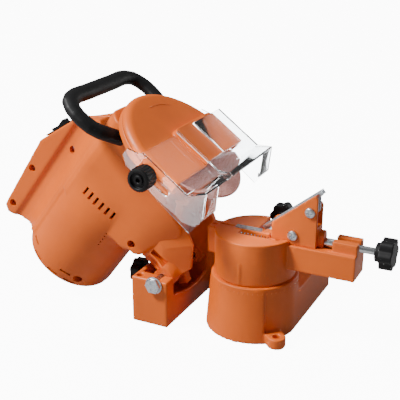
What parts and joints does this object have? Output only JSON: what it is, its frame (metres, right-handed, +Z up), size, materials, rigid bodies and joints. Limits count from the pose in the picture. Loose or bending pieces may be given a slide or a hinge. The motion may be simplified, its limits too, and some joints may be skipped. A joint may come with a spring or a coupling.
{
  "type": "chainsaw chain sharpener",
  "caption": "Bench-mounted electric saw-chain grinder: a hinged motor head lowers a guarded wheel, set behind a clear shield, onto a chain clamped in a swivelling vise.",
  "frame": {"origin": "on the underside of the base, under the head pivot axis and midway between the two ears that hold it", "axes": "+Z up from the bench; +X from the pivot towards the vise; +Y away from the operator, along the pivot bolt"},
  "size_m": [0.5011, 0.2526, 0.2667],
  "materials": {
    "orange_plastic": "fine satin moulding",
    "black_plastic": "satin moulding",
    "black_rubber": "matt",
    "zinc_steel": "bright zinc plate",
    "bright_steel": "ground",
    "motor_steel": "laminated",
    "copper": "turned copper segments",
    "brass": "plain",
    "fan_plastic": "moulded",
    "clear_plastic": "clear polycarbonate",
    "abrasive": "vitrified grit"
  },
  "bodies": {
    "base": {"base": "orange_plastic", "pivot_bolt": "zinc_steel", "pivot_washer": "zinc_steel", "pivot_nut": "zinc_steel", "depth_nut": "zinc_steel"},
    "head": {"head_arm": "orange_plastic", "shell_front": "orange_plastic", "shell_rear": "orange_plastic", "shell_screw_1": "zinc_steel", "shell_screw_2": "zinc_steel", "shell_screw_3": "zinc_steel", "shell_screw_4": "zinc_steel", "shell_screw_5": "zinc_steel", "stator": "motor_steel", "motor_bearing_rear": "bright_steel", "motor_bearing_front": "bright_steel", "spindle_bearing_inner": "bright_steel", "spindle_bearing_outer": "bright_steel", "brush_front": "brass", "brush_rear": "brass", "guard_housing": "orange_plastic", "guard_cover": "orange_plastic", "handle": "black_plastic", "switch_body": "black_plastic", "cord_gland": "black_rubber", "shield_screw": "zinc_steel"},
    "rotor": {"rotor_shaft": "bright_steel", "rotor_core": "motor_steel", "commutator": "copper", "fan": "fan_plastic"},
    "spindle": {"spindle": "bright_steel", "spindle_gear": "bright_steel", "flange_inner": "zinc_steel", "flange_outer": "zinc_steel", "grinding_wheel": "abrasive", "wheel_nut": "zinc_steel"},
    "shield": {"shield": "clear_plastic"},
    "shield_knob": {"shield_knob": "black_plastic"},
    "rocker": {"switch_rocker": "black_plastic"},
    "turntable": {"vise_table": "orange_plastic", "jaw_plate_near": "zinc_steel", "table_bolt": "zinc_steel", "table_washer": "zinc_steel", "stop_spring": "bright_steel"},
    "jaw": {"vise_jaw": "orange_plastic", "jaw_plate_far": "zinc_steel"},
    "clamp": {"clamp_screw": "zinc_steel", "clamp_knob": "black_plastic"},
    "carriage": {"stop_carriage": "orange_plastic", "pawl_screw": "zinc_steel", "carriage_screw": "zinc_steel"},
    "pawl": {"stop_pawl": "zinc_steel"},
    "stop_screw": {"stop_screw": "bright_steel", "stop_knob": "black_plastic"},
    "depth_cap": {"depth_cap": "black_rubber"},
    "depth_screw": {"depth_screw": "zinc_steel", "depth_knob": "black_plastic"}
  },
  "joints": [
    {"name": "head_tilt", "type": "hinge", "parent": "base", "child": "head", "pos_m": [0, 0, 0.052], "axis": [0, 1, 0], "range_deg": [0, 20]},
    {"name": "wheel_spin", "type": "hinge", "parent": "head", "child": "spindle", "pos_m": [0.01197, 0, 0.19774], "axis": [0.5976, 0, 0.8018], "continuous": true},
    {"name": "rotor_spin", "type": "hinge", "parent": "head", "child": "rotor", "pos_m": [-0.11671, 0, 0.0891], "axis": [0.5976, 0, 0.8018], "continuous": true},
    {"name": "shield_lift", "type": "slide", "parent": "head", "child": "shield", "axis": [-0.8018, 0, 0.5976], "range_m": [0, 0.028]},
    {"name": "shield_knob_turn", "type": "hinge", "parent": "head", "child": "shield_knob", "pos_m": [0.00946, -0.1, 0.19437], "axis": [0, 1, 0], "range_deg": [0, 360]},
    {"name": "switch_rock", "type": "hinge", "parent": "head", "child": "rocker", "pos_m": [-0.15917, 0, 0.20228], "axis": [0, 1, 0], "range_deg": [0, 16]},
    {"name": "table_turn", "type": "hinge", "parent": "base", "child": "turntable", "pos_m": [0.098, 0, 0.066], "axis": [0, 0, 1], "range_deg": [-30, 30]},
    {"name": "jaw_slide", "type": "slide", "parent": "turntable", "child": "jaw", "axis": [0, 1, 0], "range_m": [0, 0.0025]},
    {"name": "clamp_turn", "type": "hinge", "parent": "jaw", "child": "clamp", "pos_m": [0.103, 0.07, 0.1055], "axis": [0, 1, 0], "range_deg": [0, 900]},
    {"name": "stop_slide", "type": "slide", "parent": "turntable", "child": "carriage", "axis": [1, 0, 0], "range_m": [-0.004, 0.004], "deforming": ["stop_spring"]},
    {"name": "stop_turn", "type": "hinge", "parent": "carriage", "child": "stop_screw", "pos_m": [0.235, 0.00175, 0.1149], "axis": [1, 0, 0], "range_deg": [-1152, 1152]},
    {"name": "pawl_lift", "type": "hinge", "parent": "carriage", "child": "pawl", "pos_m": [0.1646, 0.00175, 0.1516], "axis": [0, 1, 0], "range_deg": [0, 45]},
    {"name": "depth_slide", "type": "slide", "parent": "base", "child": "depth_cap", "axis": [-1, 0, 0], "range_m": [0, 0.008]},
    {"name": "depth_turn", "type": "hinge", "parent": "depth_cap", "child": "depth_screw", "pos_m": [-0.05, -0.0015, 0.034], "axis": [-1, 0, 0], "range_deg": [0, 2304]}
  ],
  "couplings": [
    {"joint": "rotor_spin", "follows": "wheel_spin", "ratio": -4.1},
    {"joint": "clamp_turn", "follows": "jaw_slide", "rad_per_m": 6283.2},
    {"joint": "stop_turn", "follows": "stop_slide", "rad_per_m": 5026.5},
    {"joint": "depth_turn", "follows": "depth_slide", "rad_per_m": 5026.5}
  ]
}
